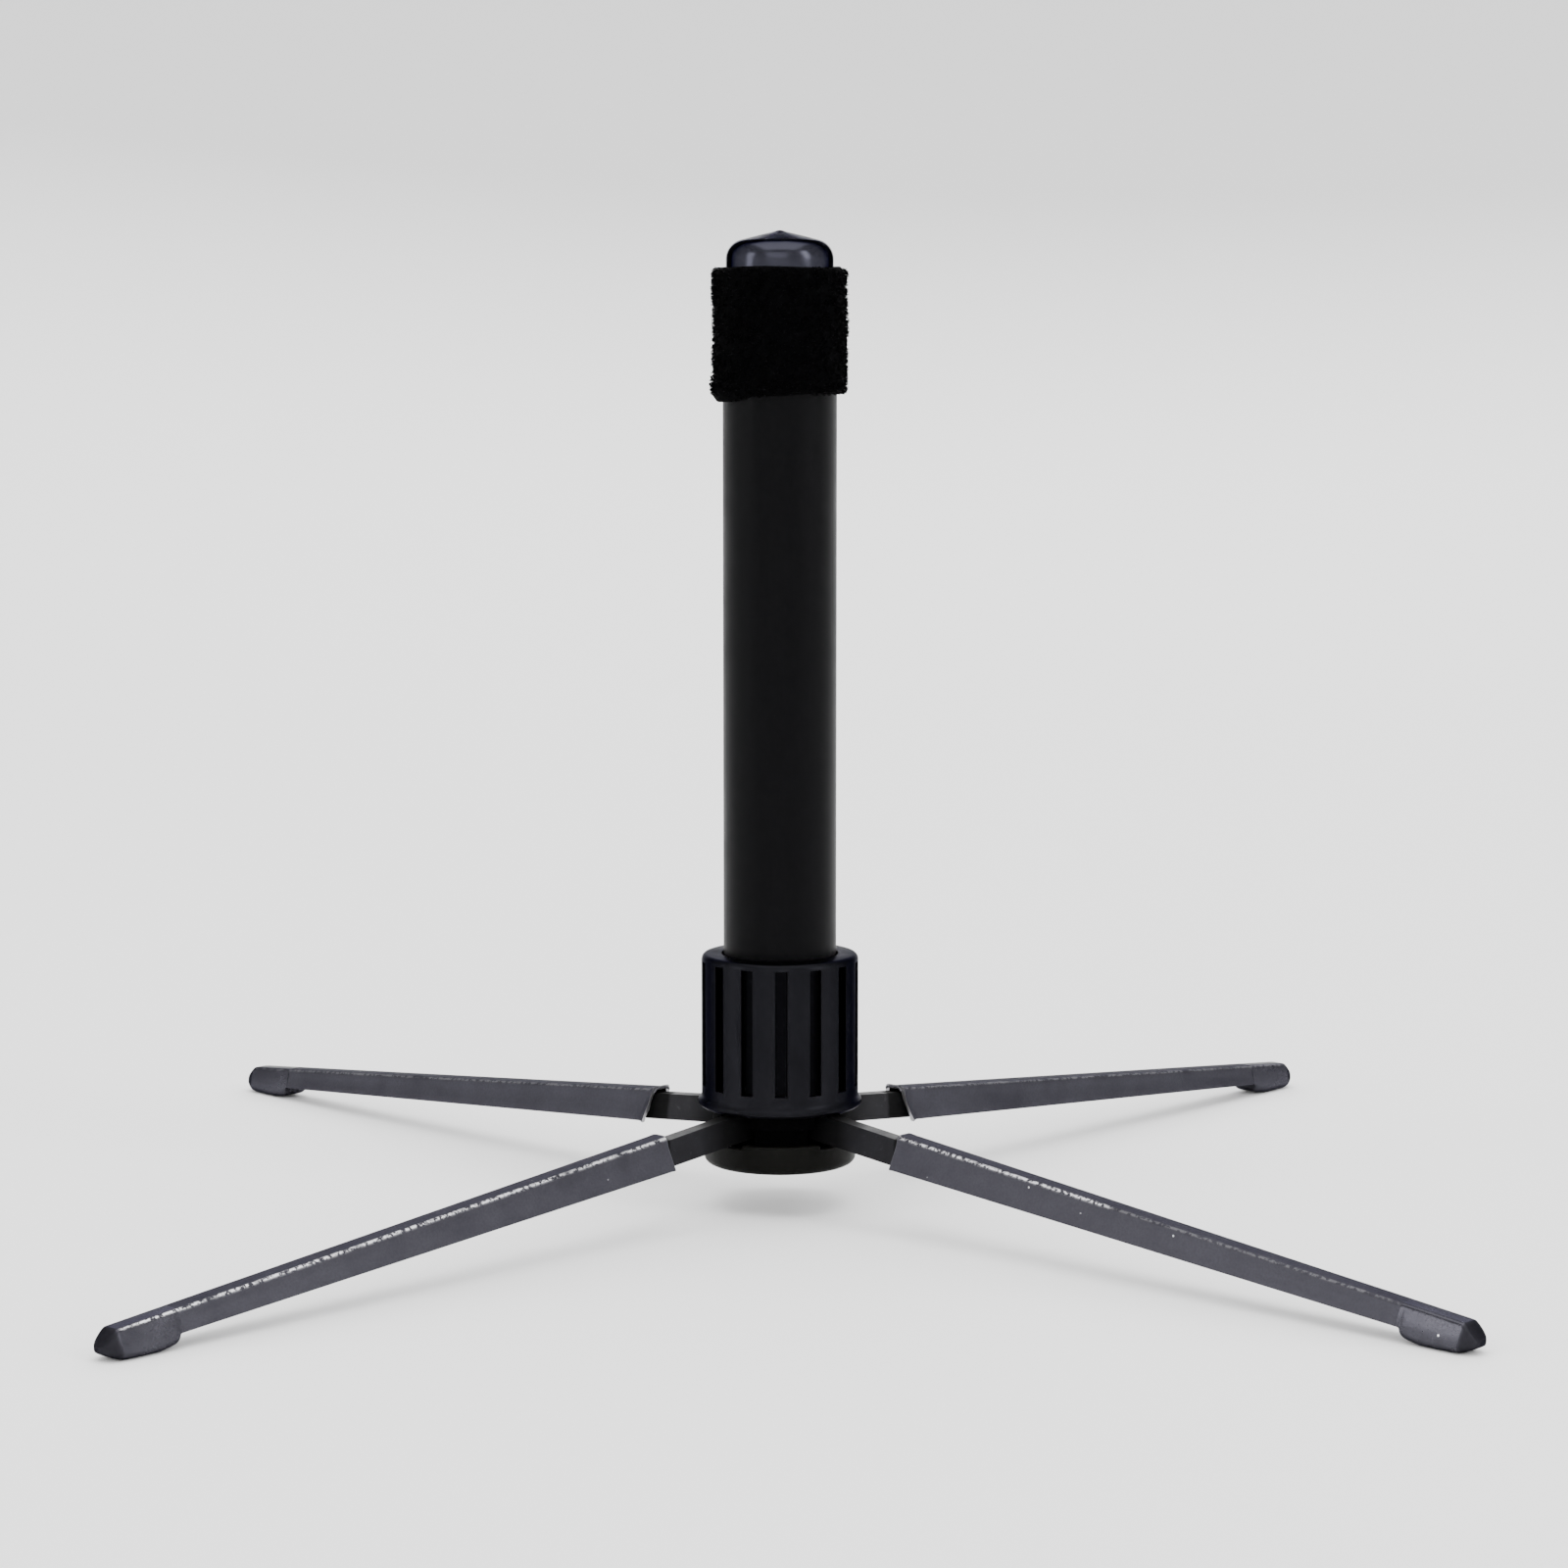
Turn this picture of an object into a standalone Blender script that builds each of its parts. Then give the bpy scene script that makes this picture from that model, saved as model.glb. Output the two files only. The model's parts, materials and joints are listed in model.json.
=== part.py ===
"""A four-legged folding peg stand for a flute, standing with its legs spread.

The post is a thin tube with a domed end cap and a pile band that grips the bore of the instrument.
A fluted collar screws the post to a slotted hub. Four sheet-metal legs turn on pins in the hub.
With the post unscrewed and lifted, the legs swing up side by side and fit inside the tube.

The origin is on the floor under the middle of the stand, +Z is up and -Y is the front.
"""

import math

import bmesh
import bpy
from mathutils import Matrix

MM = 0.001

# Driving dimensions
POST_RADIUS = 8.25 * MM
TUBE_WALL = 0.9 * MM
TUBE_TOP = 136.3 * MM
CAP_RADIUS = 7.75 * MM
CAP_TOP = 142.3 * MM
BAND_RADIUS = 9.95 * MM
BAND_BOTTOM = 118.6 * MM
BAND_TOP = 137.2 * MM
COLLAR_RADIUS = 11.5 * MM
COLLAR_TOP = 37.4 * MM
FLANGE_RADIUS = 12.0 * MM
FLANGE_TOP = 16.25 * MM
FLANGE_BOTTOM = 14.9 * MM
GROOVE_COUNT = 14
GROOVE_WIDTH = 1.8 * MM
GROOVE_DEPTH = 1.0 * MM
GROOVE_BOTTOM = 18.0 * MM
THREAD_RADIUS = 8.9 * MM
CROWN_TOP = 22.3 * MM
CROWN_BORE = 7.3 * MM
SEAT_RADIUS = 9.9 * MM
SEAT_BOTTOM = 12.8 * MM
NECK_RADIUS = 8.6 * MM
CUP_RADIUS = 11.15 * MM
CUP_TOP = 10.6 * MM
CUP_BOTTOM = 6.4 * MM
CUP_WALL = 1.2 * MM
PIVOT_RADIUS = 4.05 * MM
PIVOT_HEIGHT = 13.6 * MM
LEG_DROOP = math.radians(5.8)
LEG_LENGTH = 119.9 * MM
CHANNEL_START = 20.8 * MM
CHANNEL_END = 108.3 * MM
CHANNEL_TOP = 2.4 * MM
CHANNEL_HEIGHT = 4.8 * MM
CHANNEL_END_HEIGHT = 3.1 * MM
CHANNEL_TOP_HALF_WIDTH = 1.4 * MM
CHANNEL_FLARE = 0.354
SHEET = 0.5 * MM
FOOT_HALF_WIDTH = 2.6 * MM
SOLE_START = 112.0 * MM
SOLE_END = 117.0 * MM
NOSE_START = 117.7 * MM
PIN_RADIUS = 0.75 * MM
PIN_HALF_LENGTH = 2.5 * MM
GAP = 0.3 * MM
ROUND_STEPS = 48
MERGE = 0.00001
LEGS = {"front_left": 225, "front_right": 315, "back_right": 45, "back_left": 135}

# Worked out from the driving dimensions
TUBE_BORE = POST_RADIUS - TUBE_WALL
TUBE_BOTTOM = CROWN_TOP + 1.9 * MM
HUB_FLOOR = CUP_BOTTOM + CUP_WALL + GAP
SLOT_FLOOR = 10.0 * MM
BLOCK_TOP = PIVOT_HEIGHT + 2 * PIN_RADIUS
SLOT_HALF_WIDTH = 1.8 * MM
SLOT_STEP = 6.4 * MM


def clear_scene():
    for obj in list(bpy.data.objects):
        bpy.data.objects.remove(obj, do_unlink=True)


def new_collection(name, hidden=False):
    collection = bpy.data.collections.new(name)
    collection.hide_render = hidden
    bpy.context.scene.collection.children.link(collection)
    return collection


def new_material(name, colour, roughness, metallic=0.0):
    material = bpy.data.materials.new(name)
    material.use_nodes = True
    shader = material.node_tree.nodes["Principled BSDF"]
    shader.inputs["Base Color"].default_value = (*colour, 1.0)
    shader.inputs["Roughness"].default_value = roughness
    shader.inputs["Metallic"].default_value = metallic
    return material


def add_object(name, mesh, material, parent=None):
    obj = bpy.data.objects.new(name, mesh)
    parts.objects.link(obj)
    if not mesh.materials:
        mesh.materials.append(material)
    obj.parent = parent
    return obj


def add_cutter(name, mesh, matrix=None, parent=None):
    cutter = bpy.data.objects.new(name, mesh)
    cutters.objects.link(cutter)
    cutter.parent = parent
    cutter.matrix_local = matrix or Matrix()
    cutter.hide_render = True
    cutter.display_type = "WIRE"
    return cutter


def cut(obj, cutter):
    boolean = obj.modifiers.new(f"cut {cutter.name}", "BOOLEAN")
    boolean.operation = "DIFFERENCE"
    boolean.object = cutter


def turned(name, profile, material, closed=True):
    """A shape turned about Z. The profile runs down its outer side, then back up its inner side."""
    mesh = bpy.data.meshes.new(name)
    count = len(profile)
    edges = [(i, (i + 1) % count) for i in range(count if closed else count - 1)]
    mesh.from_pydata([(radius, 0, height) for radius, height in profile], edges, [])
    obj = add_object(name, mesh, material)
    screw = obj.modifiers.new("Turn", "SCREW")
    screw.steps = ROUND_STEPS
    screw.render_steps = ROUND_STEPS
    screw.use_merge_vertices = True
    screw.merge_threshold = MERGE
    return obj


def cylinder_mesh(name, radius, length, segments=24):
    """A cylinder along Y, centred on the origin."""
    mesh = bpy.data.meshes.new(name)
    bm = bmesh.new()
    bmesh.ops.create_cone(
        bm, cap_ends=True, segments=segments, radius1=radius, radius2=radius, depth=length,
        matrix=Matrix.Rotation(math.radians(90), 4, "X"),
    )
    bm.to_mesh(mesh)
    bm.free()
    mesh.shade_smooth()
    mesh.set_sharp_from_angle(angle=math.radians(40))
    return mesh


def extruded_mesh(name, outline, bottom, top):
    """A flat outline, listed anticlockwise, raised from bottom to top."""
    mesh = bpy.data.meshes.new(name)
    bm = bmesh.new()
    face = bm.faces.new([bm.verts.new((x, y, bottom)) for x, y in outline])
    raised = bmesh.ops.extrude_face_region(bm, geom=[face])["geom"]
    bmesh.ops.translate(
        bm, vec=(0, 0, top - bottom), verts=[v for v in raised if isinstance(v, bmesh.types.BMVert)]
    )
    bmesh.ops.recalc_face_normals(bm, faces=bm.faces)
    bm.to_mesh(mesh)
    bm.free()
    return mesh


def lofted_mesh(name, stations):
    """Rings of equal length joined in turn and closed at both ends. A station is (x, [(y, z), ...])."""
    mesh = bpy.data.meshes.new(name)
    bm = bmesh.new()
    rings = [[bm.verts.new((x, y, z)) for y, z in outline] for x, outline in stations]
    for first, second in zip(rings, rings[1:]):
        for i in range(len(first)):
            j = (i + 1) % len(first)
            bm.faces.new((first[i], first[j], second[j], second[i]))
    bm.faces.new(rings[0])
    bm.faces.new(rings[-1])
    bmesh.ops.recalc_face_normals(bm, faces=bm.faces)
    bm.to_mesh(mesh)
    bm.free()
    mesh.shade_smooth()
    mesh.set_sharp_from_angle(angle=math.radians(35))
    return mesh


def arc(centre, radius, start, end, steps):
    """Points of an arc in a profile, angles in degrees from straight outwards."""
    points = []
    for i in range(steps + 1):
        angle = math.radians(start + (end - start) * i / steps)
        points.append((centre[0] + radius * math.cos(angle), centre[1] + radius * math.sin(angle)))
    return points


def make_tube():
    return turned("post_tube", [
        (POST_RADIUS, TUBE_TOP), (POST_RADIUS, TUBE_BOTTOM),
        (TUBE_BORE, TUBE_BOTTOM), (TUBE_BORE, TUBE_TOP),
    ], plastic_black)


def make_end_cap():
    """A hollow plug with a low conical crown that ends in a small moulding nib."""
    shoulder = 2.9 * MM
    crown_edge = CAP_TOP - 1.25 * MM
    spigot = TUBE_BORE - 0.2 * MM
    seat = TUBE_TOP + GAP
    spigot_end = seat - 3.2 * MM
    nib = [(0, CAP_TOP), (0.5 * MM, CAP_TOP - 0.06 * MM), (1.0 * MM, CAP_TOP - 0.22 * MM)]
    side = arc((CAP_RADIUS - shoulder, crown_edge - shoulder), shoulder, 75, 0, 8)
    plug = [(CAP_RADIUS, seat), (spigot, seat), (spigot, spigot_end)]
    hollow_radius = 5.6 * MM
    inside = [
        (hollow_radius, spigot_end), (hollow_radius, seat + 1.2 * MM),
        (0.6 * hollow_radius, CAP_TOP - 2.6 * MM), (0, CAP_TOP - 2.0 * MM),
    ]
    return turned("end_cap", nib + side + plug + inside, cap_black, closed=False)


def make_pile_band():
    """The plain body of the band. Its ends are rounded as fabric is."""
    inner = POST_RADIUS + 0.2 * MM
    round_off = (BAND_RADIUS - inner) / 2
    middle = BAND_RADIUS - round_off
    profile = arc((middle, BAND_TOP - round_off), round_off, 90, 0, 4)
    profile += arc((middle, BAND_BOTTOM + round_off), round_off, 0, -180, 8)
    profile += arc((middle, BAND_TOP - round_off), round_off, 180, 112.5, 3)
    return turned("pile_band", profile, pile_black)


def make_collar():
    """The clamp collar: a sleeve round the tube, a thread bore below it, flutes and a flange."""
    edge = 0.4 * MM
    top_edge = 0.8 * MM
    lip_top = TUBE_BOTTOM - GAP
    lip_bottom = CROWN_TOP + GAP
    sleeve = POST_RADIUS + GAP
    thread = THREAD_RADIUS + GAP
    rim = arc((COLLAR_RADIUS - top_edge, COLLAR_TOP - top_edge), top_edge, 90, 0, 3)
    collar = turned("clamp_collar", rim + [
        (COLLAR_RADIUS, FLANGE_TOP + edge), (FLANGE_RADIUS - edge, FLANGE_TOP),
        (FLANGE_RADIUS, FLANGE_TOP - edge), (FLANGE_RADIUS, FLANGE_BOTTOM + edge),
        (FLANGE_RADIUS - edge, FLANGE_BOTTOM), (thread, FLANGE_BOTTOM),
        (thread, lip_bottom), (TUBE_BORE, lip_bottom), (TUBE_BORE, lip_top),
        (sleeve, lip_top), (sleeve, COLLAR_TOP),
    ], plastic_black)
    groove_top = COLLAR_TOP - 1.0 * MM
    bm = bmesh.new()
    for i in range(GROOVE_COUNT):
        turn = Matrix.Rotation(2 * math.pi * i / GROOVE_COUNT - math.pi / 2, 4, "Z")
        place = Matrix.Translation((COLLAR_RADIUS, 0, (groove_top + GROOVE_BOTTOM) / 2))
        size = Matrix.Diagonal((2 * GROOVE_DEPTH, GROOVE_WIDTH, groove_top - GROOVE_BOTTOM, 1))
        bmesh.ops.create_cube(bm, size=1, matrix=turn @ place @ size)
    mesh = bpy.data.meshes.new("groove_cutter")
    bm.to_mesh(mesh)
    bm.free()
    cut(collar, add_cutter("groove_cutter", mesh))
    return collar


def slot_outline():
    """A cross of four leg slots, narrow between the pin blocks and wide outside them."""
    wide = CHANNEL_TOP_HALF_WIDTH + CHANNEL_HEIGHT * CHANNEL_FLARE - 0.4 * MM
    reach = CUP_RADIUS + 2 * MM
    arm = [
        (SLOT_HALF_WIDTH, -SLOT_HALF_WIDTH), (SLOT_STEP, -SLOT_HALF_WIDTH), (SLOT_STEP, -wide),
        (reach, -wide), (reach, wide), (SLOT_STEP, wide), (SLOT_STEP, SLOT_HALF_WIDTH),
    ]
    outline = []
    for quarter in range(4):
        angle = math.radians(45 + 90 * quarter)
        for x, y in arm:
            outline.append((
                x * math.cos(angle) - y * math.sin(angle), x * math.sin(angle) + y * math.cos(angle),
            ))
    return outline


def make_hub():
    """The slotted crown that holds the pins, the cup that closes it below, and their screw."""
    screw_hole = 1.2 * MM
    chamfer = 0.4 * MM
    disc_radius = CUP_RADIUS - CUP_WALL - GAP
    disc_top = SLOT_FLOOR + 0.2 * MM
    seat_top = FLANGE_BOTTOM - GAP
    crown = turned("hub_crown", [
        (THREAD_RADIUS - chamfer, CROWN_TOP), (THREAD_RADIUS, CROWN_TOP - chamfer),
        (THREAD_RADIUS, seat_top), (SEAT_RADIUS, seat_top), (SEAT_RADIUS, SEAT_BOTTOM),
        (NECK_RADIUS, SEAT_BOTTOM), (NECK_RADIUS, disc_top), (disc_radius, disc_top),
        (disc_radius, HUB_FLOOR), (screw_hole, HUB_FLOOR), (screw_hole, BLOCK_TOP),
        (CROWN_BORE, BLOCK_TOP), (CROWN_BORE, CROWN_TOP),
    ], plastic_black)
    round_off = 1.0 * MM
    head_hole = 2.3 * MM
    head_recess = CUP_BOTTOM + 0.5 * MM
    cup_inside = CUP_RADIUS - CUP_WALL
    outside = [(CUP_RADIUS - 0.2 * MM, CUP_TOP), (CUP_RADIUS, CUP_TOP - 0.2 * MM)]
    outside += arc((CUP_RADIUS - round_off, CUP_BOTTOM + round_off), round_off, 0, -90, 5)
    cup = turned("base_cup", outside + [
        (head_hole, CUP_BOTTOM), (head_hole, head_recess),
        (screw_hole, head_recess), (screw_hole, CUP_BOTTOM + CUP_WALL),
        (cup_inside, CUP_BOTTOM + CUP_WALL), (cup_inside, CUP_TOP),
    ], cup_black)
    slots = add_cutter("slot_cutter", extruded_mesh(
        "slot_cutter", slot_outline(), SLOT_FLOOR, CROWN_TOP + 2 * MM))
    cut(crown, slots)
    cut(cup, slots)
    shank = screw_hole - 0.25 * MM
    head = head_hole - GAP
    head_bottom = CUP_BOTTOM - 0.3 * MM
    head_top = CUP_BOTTOM + 0.25 * MM
    shank_top = SLOT_FLOOR - 0.2 * MM
    turned("centre_screw", [
        (0, shank_top), (shank - 0.2 * MM, shank_top),
        (shank, shank_top - 0.3 * MM), (shank, head_top), (head, head_top),
        (head, head_bottom + 0.2 * MM), (head - 0.3 * MM, head_bottom), (0, head_bottom),
    ], steel_bright, closed=False)
    return crown


def trapezoid(top, bottom, top_half, bottom_half):
    return [(-bottom_half, bottom), (bottom_half, bottom), (top_half, top), (-top_half, top)]


def half_width(level):
    """Half the outside width of a leg's channel at a height above its pivot line."""
    return CHANNEL_TOP_HALF_WIDTH + (CHANNEL_TOP - level) * CHANNEL_FLARE


def root_mesh():
    """The dark inner arm of a leg: a narrow tongue round the pin, then a bar that thins in the channel."""
    top = CHANNEL_TOP - SHEET - GAP
    bottom = -2.3 * MM
    nose, nose_top, nose_bottom = -2.0 * MM, 0.8 * MM, -1.1 * MM
    tongue_start, tongue_end, bar_start = -1.1 * MM, 2.6 * MM, 3.4 * MM
    bar_end, bar_end_bottom = CHANNEL_START + 14 * MM, -1.2 * MM
    tongue = (0.9 * MM, 1.4 * MM)
    bar = (1.15 * MM, 1.6 * MM)
    slim = (0.8 * MM, 1.3 * MM)
    return lofted_mesh("leg_root", [
        (nose, trapezoid(nose_top, nose_bottom, *tongue)),
        (tongue_start, trapezoid(top, bottom + 0.3 * MM, *tongue)),
        (tongue_end, trapezoid(top, bottom, *tongue)),
        (bar_start, trapezoid(top, bottom, *bar)),
        (CHANNEL_START + 2 * MM, trapezoid(top, bottom + 0.1 * MM, *bar)),
        (bar_end, trapezoid(top, bar_end_bottom, *slim)),
    ])


def channel_outline(height):
    """The section of the inverted sheet channel, with its lower edges turned in."""
    bend = 0.3 * MM
    wall = SHEET * math.hypot(1, CHANNEL_FLARE)
    bottom = CHANNEL_TOP - height
    under = CHANNEL_TOP - SHEET
    lip = 0.2 * MM
    right = [
        (half_width(bottom) - wall - lip, bottom), (half_width(bottom), bottom),
        (half_width(CHANNEL_TOP - bend), CHANNEL_TOP - bend),
        (CHANNEL_TOP_HALF_WIDTH - bend, CHANNEL_TOP),
    ]
    inner = [
        (half_width(under) - wall, under),
        (half_width(bottom + SHEET) - wall, bottom + SHEET),
        (half_width(bottom + SHEET) - wall - lip, bottom + SHEET),
    ]
    left = [(-y, z) for y, z in reversed(right)]
    inner_left = [(-y, z) for y, z in reversed(inner)]
    return right + left + inner_left + inner


def channel_mesh():
    return lofted_mesh("leg_channel", [
        (CHANNEL_START, channel_outline(CHANNEL_HEIGHT)),
        (CHANNEL_END, channel_outline(CHANNEL_END_HEIGHT)),
    ])


def foot_outline(top, bottom, top_half, bottom_half, under=0.2 * MM):
    """A closed section with a small rounding on top and a larger one, under, at the bottom."""
    crest = min(0.25 * MM, (top - bottom) / 5)
    under = min(under, (top - bottom) / 2)
    right = [
        (bottom_half - under, bottom), (bottom_half - 0.3 * under, bottom + 0.3 * under),
        (bottom_half, bottom + under), (top_half, top - crest),
        (top_half - 0.3 * crest, top - 0.3 * crest), (top_half - crest, top),
    ]
    return right + [(-y, z) for y, z in reversed(right)]


def foot_section(top, bottom, draw_in=1.0):
    """A section of the foot, flush with the sides of the channel. draw_in narrows it."""
    under = 1.1 * MM
    top_half = min(half_width(top), FOOT_HALF_WIDTH)
    bottom_half = min(half_width(bottom + under), FOOT_HALF_WIDTH)
    return foot_outline(top, bottom, top_half * draw_in, bottom_half * draw_in, under)


def foot_mesh():
    """The moulded foot: a plug in the channel's end, a heel, a flat sole and a slanted nose."""
    def floor_level(along):
        return (along * math.sin(LEG_DROOP) - PIVOT_HEIGHT) / math.cos(LEG_DROOP)

    plug_length = 8 * MM
    heel = CHANNEL_END + 0.1 * MM
    plug = foot_outline(1.5 * MM, -0.1 * MM, 0.9 * MM, 1.3 * MM)
    stations = [(heel - plug_length, plug), (heel, plug)]
    for back, drop in ((0, 0.3), (0.3, 0.9), (0.9, 1.35)):
        bottom = CHANNEL_TOP - CHANNEL_END_HEIGHT - drop * MM
        stations.append((heel + back * MM, foot_section(CHANNEL_TOP, bottom)))
    for along in (SOLE_START, SOLE_END):
        stations.append((along, foot_section(CHANNEL_TOP, floor_level(along))))
    nose_length = LEG_LENGTH - NOSE_START
    tip_top, tip_bottom = 0.3 * MM, -0.4 * MM
    for share in (0.0, 0.4, 0.7, 0.88, 1.0):
        along = NOSE_START + nose_length * share
        top = CHANNEL_TOP + (tip_top - CHANNEL_TOP) * share
        curl = max(0.0, (along - SOLE_END) / (LEG_LENGTH - SOLE_END)) ** 2
        bottom = floor_level(along) + (tip_bottom - floor_level(LEG_LENGTH)) * curl
        stations.append((along, foot_section(top, bottom, math.sqrt(1 - 0.8 * share ** 2))))
    return lofted_mesh("leg_foot", stations)


def make_legs(crown):
    root, channel, foot = root_mesh(), channel_mesh(), foot_mesh()
    pin = cylinder_mesh("leg_pin", PIN_RADIUS, 2 * PIN_HALF_LENGTH)
    play = 0.25 * MM
    pin_hole = cylinder_mesh("pin_hole_cutter", PIN_RADIUS + play, 2 * PIN_HALF_LENGTH)
    pocket = cylinder_mesh("pin_pocket_cutter", PIN_RADIUS + 0.2 * MM, 2 * (PIN_HALF_LENGTH + play))
    for name, azimuth in LEGS.items():
        outwards = Matrix.Rotation(math.radians(azimuth), 4, "Z")
        place = outwards @ Matrix.Translation((PIVOT_RADIUS, 0, PIVOT_HEIGHT))
        pivot = bpy.data.objects.new(f"leg_pivot_{name}", None)
        parts.objects.link(pivot)
        pivot.matrix_world = place @ Matrix.Rotation(LEG_DROOP, 4, "Y")
        arm = add_object(f"leg_root_{name}", root, steel_dark, pivot)
        cut(arm, add_cutter(f"pin_hole_{name}", pin_hole, parent=pivot))
        add_object(f"leg_channel_{name}", channel, steel_painted, pivot)
        add_object(f"leg_foot_{name}", foot, foot_rubber, pivot)
        hinge_pin = add_object(f"leg_pin_{name}", pin, steel_bright)
        hinge_pin.matrix_world = place
        cut(crown, add_cutter(f"pin_pocket_{name}", pocket, place))


clear_scene()
parts = new_collection("flute_stand")
cutters = new_collection("cutters", hidden=True)
plastic_black = new_material("plastic_black", (0.012, 0.012, 0.015), 0.42)
cap_black = new_material("cap_black", (0.01, 0.01, 0.013), 0.18)
cup_black = new_material("cup_black", (0.014, 0.014, 0.011), 0.5)
pile_black = new_material("pile_black", (0.003, 0.003, 0.003), 1.0)
steel_dark = new_material("steel_dark", (0.03, 0.03, 0.034), 0.45, 0.3)
steel_painted = new_material("steel_painted", (0.07, 0.068, 0.08), 0.38, 0.4)
steel_bright = new_material("steel_bright", (0.6, 0.6, 0.62), 0.3, 1.0)
foot_rubber = new_material("foot_rubber", (0.03, 0.03, 0.034), 0.4)
make_tube()
make_end_cap()
make_pile_band()
make_collar()
make_legs(make_hub())
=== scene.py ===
"""The looks of the folding flute stand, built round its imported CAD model.

Order: helpers, materials, post, collar and hub, legs, pile band, stage and camera.
Every piece is in metres in the CAD frame: the floor is z = 0, +Z is up and -Y is the front.
"""

import json
import math
import random

import bmesh
import bpy
from mathutils import Matrix, Vector, noise


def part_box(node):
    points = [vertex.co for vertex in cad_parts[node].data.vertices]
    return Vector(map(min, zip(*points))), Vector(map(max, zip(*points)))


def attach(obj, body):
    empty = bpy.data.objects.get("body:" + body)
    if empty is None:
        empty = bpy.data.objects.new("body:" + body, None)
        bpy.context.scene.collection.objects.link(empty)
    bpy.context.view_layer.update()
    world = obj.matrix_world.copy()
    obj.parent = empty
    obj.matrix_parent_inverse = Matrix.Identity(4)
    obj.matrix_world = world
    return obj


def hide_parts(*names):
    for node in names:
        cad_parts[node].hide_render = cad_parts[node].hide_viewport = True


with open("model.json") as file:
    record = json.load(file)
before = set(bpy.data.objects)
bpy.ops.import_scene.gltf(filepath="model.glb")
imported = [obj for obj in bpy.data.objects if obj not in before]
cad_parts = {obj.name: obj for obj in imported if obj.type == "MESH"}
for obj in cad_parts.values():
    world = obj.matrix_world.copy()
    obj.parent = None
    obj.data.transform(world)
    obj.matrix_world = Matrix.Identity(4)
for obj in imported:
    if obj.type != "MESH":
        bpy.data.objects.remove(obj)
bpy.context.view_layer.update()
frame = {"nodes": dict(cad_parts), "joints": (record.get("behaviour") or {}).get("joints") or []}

MM = 0.001
ROUND_STEPS = 96

# Sizes of the legs, as in the CAD. Distances along a leg start at its pin, and heights are above it.
LEGS = ("front_left", "front_right", "back_right", "back_left")
LEG_DROOP = math.radians(5.8)
LEG_LENGTH = 119.9 * MM
CHANNEL_START = 20.8 * MM
CHANNEL_END = 108.3 * MM
CHANNEL_TOP = 2.4 * MM
CHANNEL_HEIGHT = 4.8 * MM
CHANNEL_END_HEIGHT = 3.1 * MM
CHANNEL_TOP_HALF_WIDTH = 1.4 * MM
CHANNEL_FLARE = 0.354
SHEET = 0.5 * MM
FOOT_HALF_WIDTH = 2.6 * MM
SOLE_START = 112.0 * MM
SOLE_END = 117.0 * MM
NOSE_START = 117.7 * MM

# The rounding of a leg's two top edges, and how far in from the side it is centred, in radii.
BEND = 0.8 * MM
BEND_INSET = 0.93

# Where round the tube, from +X, the pile band's lower edge sags most, and how far the loops stand
# out from the cloth to the band's outside in the CAD.
SAG_ANGLE = math.radians(200)
PILE_DEPTH = 0.5 * MM

# Sizes of the marks in the finish of moulded plastic.
CLOUDS = 9 * MM
HANDLED_PATCHES = 4 * MM
MOULD_GRAIN = 0.25 * MM


# ---------------------------------------------------------------- helpers

def new_object(name, mesh, material):
    obj = bpy.data.objects.new(name, mesh)
    bpy.context.scene.collection.objects.link(obj)
    mesh.materials.append(material)
    return obj


def mesh_from(bm, name):
    mesh = bpy.data.meshes.new(name)
    bm.to_mesh(mesh)
    bm.free()
    return mesh


def smooth(mesh, angle=35):
    mesh.shade_smooth()
    mesh.set_sharp_from_angle(angle=math.radians(angle))


def round_point(radius, angle, height):
    """The point at a distance and an angle round the Z axis."""
    return (radius * math.cos(angle), radius * math.sin(angle), height)


def turned(name, profile, material, closed=True):
    """A surface turned about Z from (radius, height) points.

    The points run down the outside and up the inside. closed joins the last to the first.
    """
    on_axis = 1e-7
    bm = bmesh.new()
    rings = []
    for radius, height in profile:
        if radius < on_axis:
            rings.append([bm.verts.new((0, 0, height))])
            continue
        ring = []
        for i in range(ROUND_STEPS):
            ring.append(bm.verts.new(round_point(radius, 2 * math.pi * i / ROUND_STEPS, height)))
        rings.append(ring)
    pairs = list(zip(rings, rings[1:]))
    if closed:
        pairs.append((rings[-1], rings[0]))
    for upper, lower in pairs:
        for i in range(ROUND_STEPS):
            j = (i + 1) % ROUND_STEPS
            if len(upper) == 1:
                bm.faces.new((upper[0], lower[i], lower[j]))
            elif len(lower) == 1:
                bm.faces.new((upper[i], lower[0], upper[j]))
            else:
                bm.faces.new((upper[i], lower[i], lower[j], upper[j]))
    bmesh.ops.recalc_face_normals(bm, faces=bm.faces)
    mesh = mesh_from(bm, name)
    smooth(mesh)
    return new_object(name, mesh, material)


def lofted(name, stations, material, attributes):
    """Rings of equal length joined in turn and closed at both ends.

    A station is (x, [(y, z), ...]). attributes maps a name to a function of a station's index and
    a point's.
    """
    bm = bmesh.new()
    layers = {key: bm.verts.layers.float.new(key) for key in attributes}
    rings = []
    for s, (x, outline) in enumerate(stations):
        ring = []
        for p, (y, z) in enumerate(outline):
            vert = bm.verts.new((x, y, z))
            for key, layer in layers.items():
                vert[layer] = attributes[key](s, p)
            ring.append(vert)
        rings.append(ring)
    for first, second in zip(rings, rings[1:]):
        for i in range(len(first)):
            j = (i + 1) % len(first)
            bm.faces.new((first[i], first[j], second[j], second[i]))
    bm.faces.new(rings[0])
    bm.faces.new(rings[-1])
    bmesh.ops.recalc_face_normals(bm, faces=bm.faces)
    mesh = mesh_from(bm, name)
    smooth(mesh)
    return new_object(name, mesh, material)


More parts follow.
